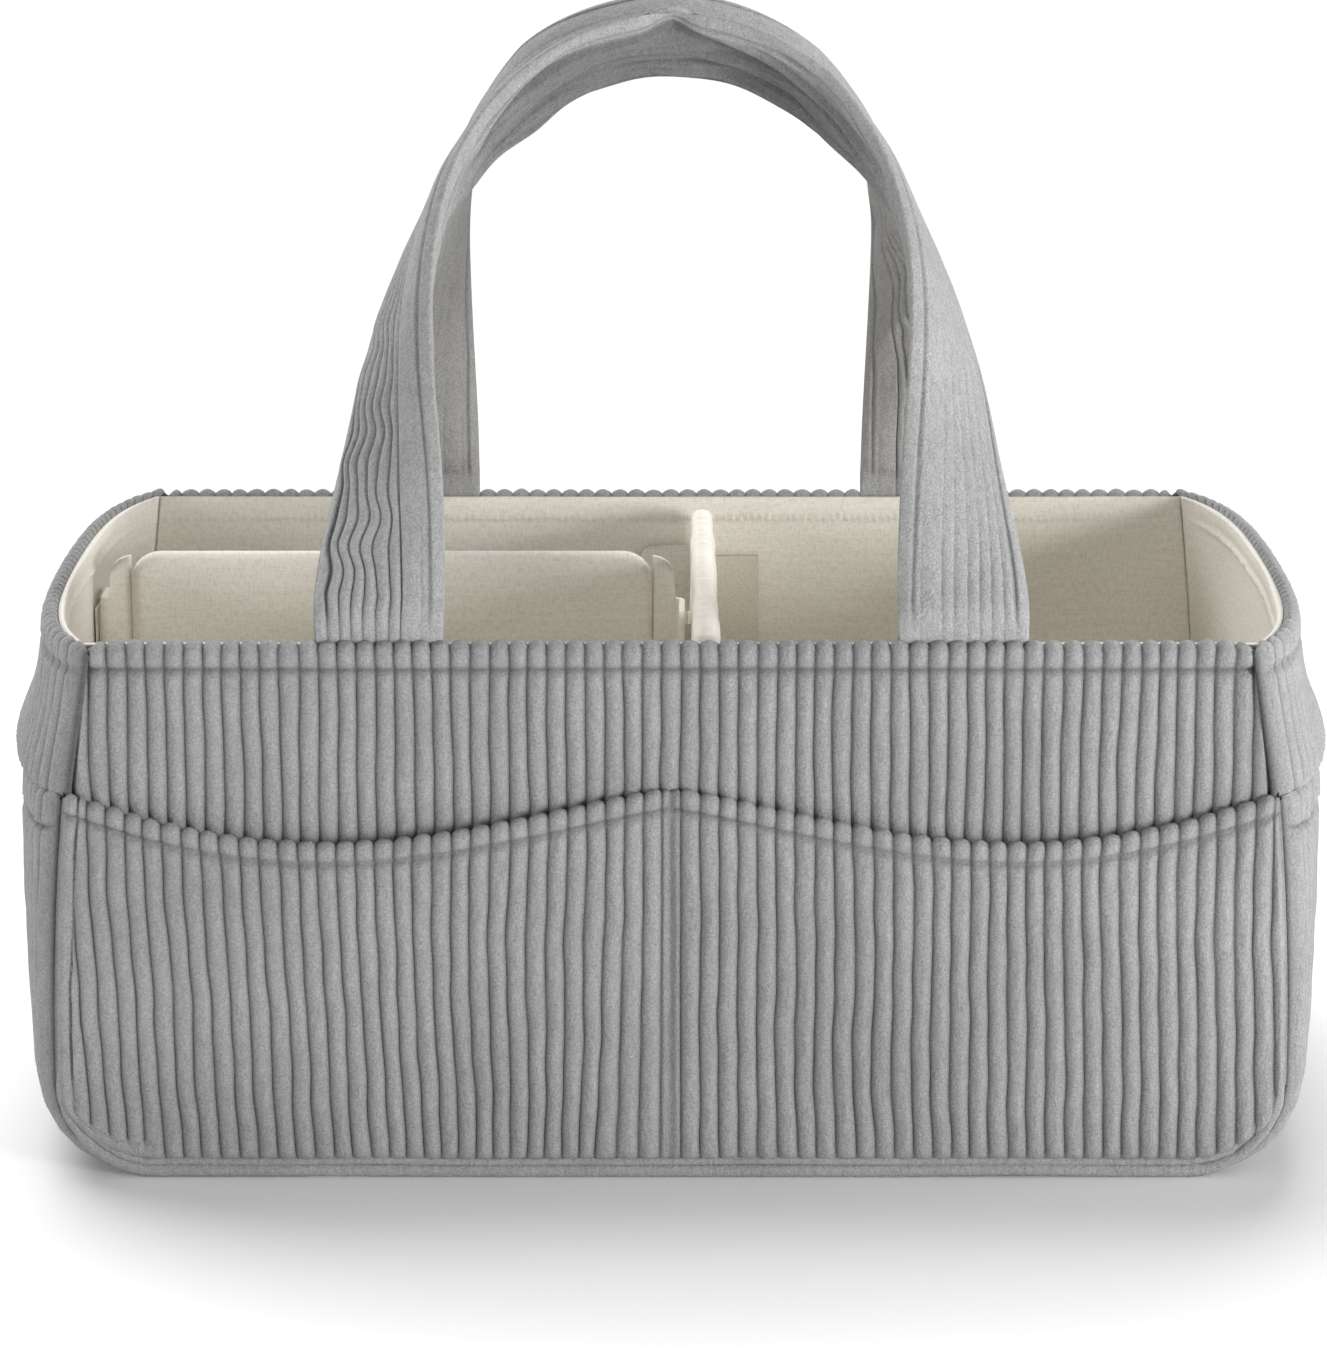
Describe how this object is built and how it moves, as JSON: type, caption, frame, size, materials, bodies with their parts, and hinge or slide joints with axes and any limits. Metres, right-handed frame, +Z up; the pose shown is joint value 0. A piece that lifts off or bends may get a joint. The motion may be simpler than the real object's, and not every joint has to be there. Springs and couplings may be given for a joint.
{
  "type": "diaper caddy",
  "caption": "Soft wide-wale corduroy caddy with a linen lining, outer pockets, padded strap handles and removable dividers.",
  "frame": {"origin": "centre of the underside, where the caddy rests", "axes": "+X to the right along the length, -Y to the front, +Z up"},
  "size_m": [0.4174, 0.2542, 0.3537],
  "materials": {
    "corduroy": "matt wide-wale corduroy, mid grey",
    "linen_lining": "matt slubby linen, cream",
    "stiffener_board": "matt stiffener board",
    "strap_padding": "soft white wadding",
    "hook_and_loop": "cream hook-and-loop tape",
    "elastic": "white braided elastic"
  },
  "bodies": {
    "bag": {"gusset": "corduroy", "gusset_lining": "linen_lining", "base_board": "stiffener_board", "front_loop_strip": "hook_and_loop", "back_loop_strip": "hook_and_loop", "left_loop_strip": "hook_and_loop", "front_panel": "corduroy", "front_piping": "corduroy", "front_pocket": "corduroy", "front_board": "stiffener_board", "front_lining": "linen_lining", "front_rim_band": "linen_lining", "front_handle_tab_a": "corduroy", "front_handle_tab_b": "corduroy", "back_panel": "corduroy", "back_piping": "corduroy", "back_pocket": "corduroy", "back_board": "stiffener_board", "back_lining": "linen_lining", "back_rim_band": "linen_lining", "back_handle_tab_a": "corduroy", "back_handle_tab_b": "corduroy", "left_pocket": "corduroy", "left_pocket_elastic": "elastic", "left_board": "stiffener_board", "left_rim_band": "linen_lining", "right_pocket": "corduroy", "right_pocket_elastic": "elastic", "right_board": "stiffener_board", "right_rim_band": "linen_lining"},
    "front_handle": {"front_handle_sleeve": "corduroy", "front_handle_padding": "strap_padding"},
    "back_handle": {"back_handle_sleeve": "corduroy", "back_handle_padding": "strap_padding"},
    "cross_divider": {"cross_divider_cover": "linen_lining", "cross_divider_board": "stiffener_board", "cross_divider_hook_front": "hook_and_loop", "cross_divider_tab_front": "linen_lining", "cross_divider_hook_back": "hook_and_loop", "cross_divider_tab_back": "linen_lining", "cross_divider_loop": "hook_and_loop"},
    "long_divider": {"long_divider_cover": "linen_lining", "long_divider_board": "stiffener_board", "long_divider_tab_left": "linen_lining", "long_divider_hook_left": "hook_and_loop", "long_divider_hook_right": "hook_and_loop", "long_divider_tab_right": "linen_lining"}
  },
  "joints": [
    {"name": "front_handle_fold", "type": "hinge", "parent": "bag", "child": "front_handle", "pos_m": [0, -0.1124, 0.177], "axis": [1, 0, 0], "range_deg": [0, 128]},
    {"name": "back_handle_fold", "type": "hinge", "parent": "bag", "child": "back_handle", "pos_m": [0, 0.1124, 0.177], "axis": [-1, 0, 0], "range_deg": [0, 128]},
    {"name": "cross_divider_lift", "type": "slide", "parent": "bag", "child": "cross_divider", "axis": [0, 0, 1], "range_m": [0, 0.15]},
    {"name": "long_divider_lift", "type": "slide", "parent": "bag", "child": "long_divider", "axis": [0, 0, 1], "range_m": [0, 0.11]}
  ]
}
